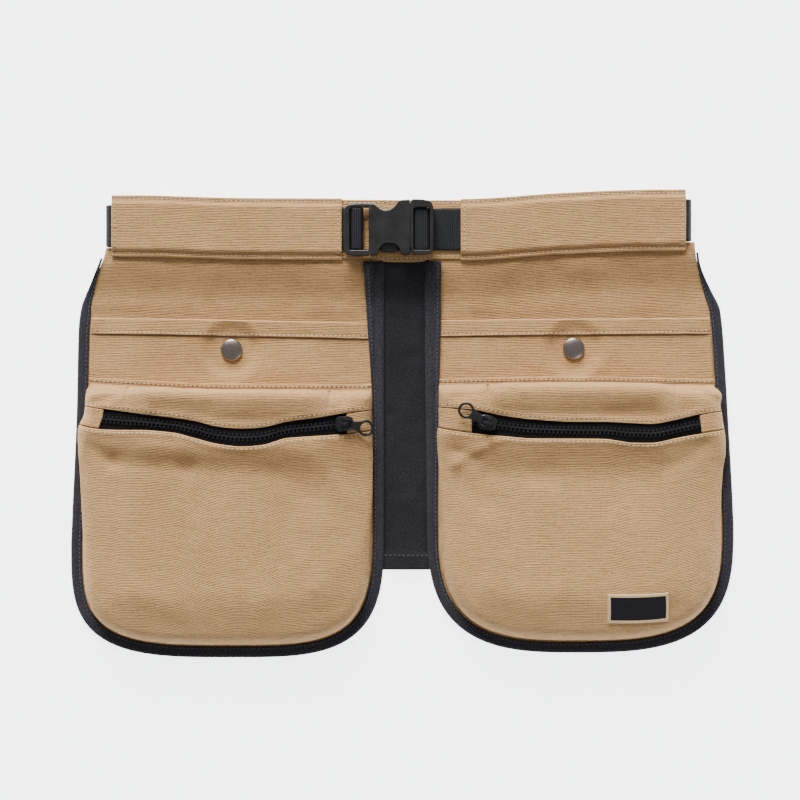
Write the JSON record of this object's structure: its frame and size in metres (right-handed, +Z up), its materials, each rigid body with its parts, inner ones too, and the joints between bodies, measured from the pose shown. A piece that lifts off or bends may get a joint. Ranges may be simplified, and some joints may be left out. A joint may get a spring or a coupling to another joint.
{
  "type": "carpenter nail apron",
  "caption": "Two-pouch canvas work apron on a webbing waist belt, with patch pockets, deep zip pockets and a side-release buckle, lying flat.",
  "frame": {"origin": "middle of the bounding box on the surface that the apron lies on", "axes": "+X to the right across the front, +Y towards the waistband, +Z up out of the front"},
  "size_m": [0.4764, 0.3359, 0.0259],
  "materials": {
    "tan_canvas": "matte ribbed canvas",
    "black_twill": "matte twill",
    "black_webbing": "ribbed webbing",
    "black_plastic": "satin moulded plastic",
    "black_zip": "woven tape with moulded teeth",
    "antique_steel": "antique nickel",
    "black_metal": "satin black",
    "woven_label": "woven label with a pale border"
  },
  "bodies": {
    "apron": {"waistband_base": "tan_canvas", "belt_channel_left": "tan_canvas", "belt_channel_right": "tan_canvas", "belt_webbing": "black_webbing", "buckle_female": "black_plastic", "buckle_male": "black_plastic", "centre_panel": "black_twill", "base_panel_left": "tan_canvas", "base_panel_right": "tan_canvas", "edge_binding_left": "black_twill", "edge_binding_right": "black_twill", "patch_pocket_left": "tan_canvas", "patch_pocket_right": "tan_canvas", "snap_cap_left": "antique_steel", "snap_cap_right": "antique_steel", "snap_stud_left": "antique_steel", "snap_stud_right": "antique_steel", "zip_pocket_top_left": "tan_canvas", "zip_pocket_top_right": "tan_canvas", "zip_pocket_front_left": "tan_canvas", "zip_pocket_front_right": "tan_canvas", "zip_tape_left": "black_zip", "zip_tape_right": "black_zip", "zip_tab_left_outer": "tan_canvas", "zip_tab_left_inner": "tan_canvas", "zip_tab_right_inner": "tan_canvas", "zip_tab_right_outer": "tan_canvas", "zip_slider_left": "black_metal", "zip_slider_right": "black_metal", "label_patch": "woven_label"},
    "zip_pull_left": {"zip_pull_left": "black_metal"},
    "zip_pull_right": {"zip_pull_right": "black_metal"}
  },
  "joints": [
    {"name": "zip_pull_left_swing", "type": "hinge", "parent": "apron", "child": "zip_pull_left", "pos_m": [-0.04072, 0.00019, 0.02058], "axis": [-0.2079, -0.9781, 0.0091], "range_deg": [0, 150]},
    {"name": "zip_pull_right_swing", "type": "hinge", "parent": "apron", "child": "zip_pull_right", "pos_m": [0.0603, 0.00087, 0.02325], "axis": [0.4983, 0.8632, 0.0814], "range_deg": [0, 150]}
  ]
}
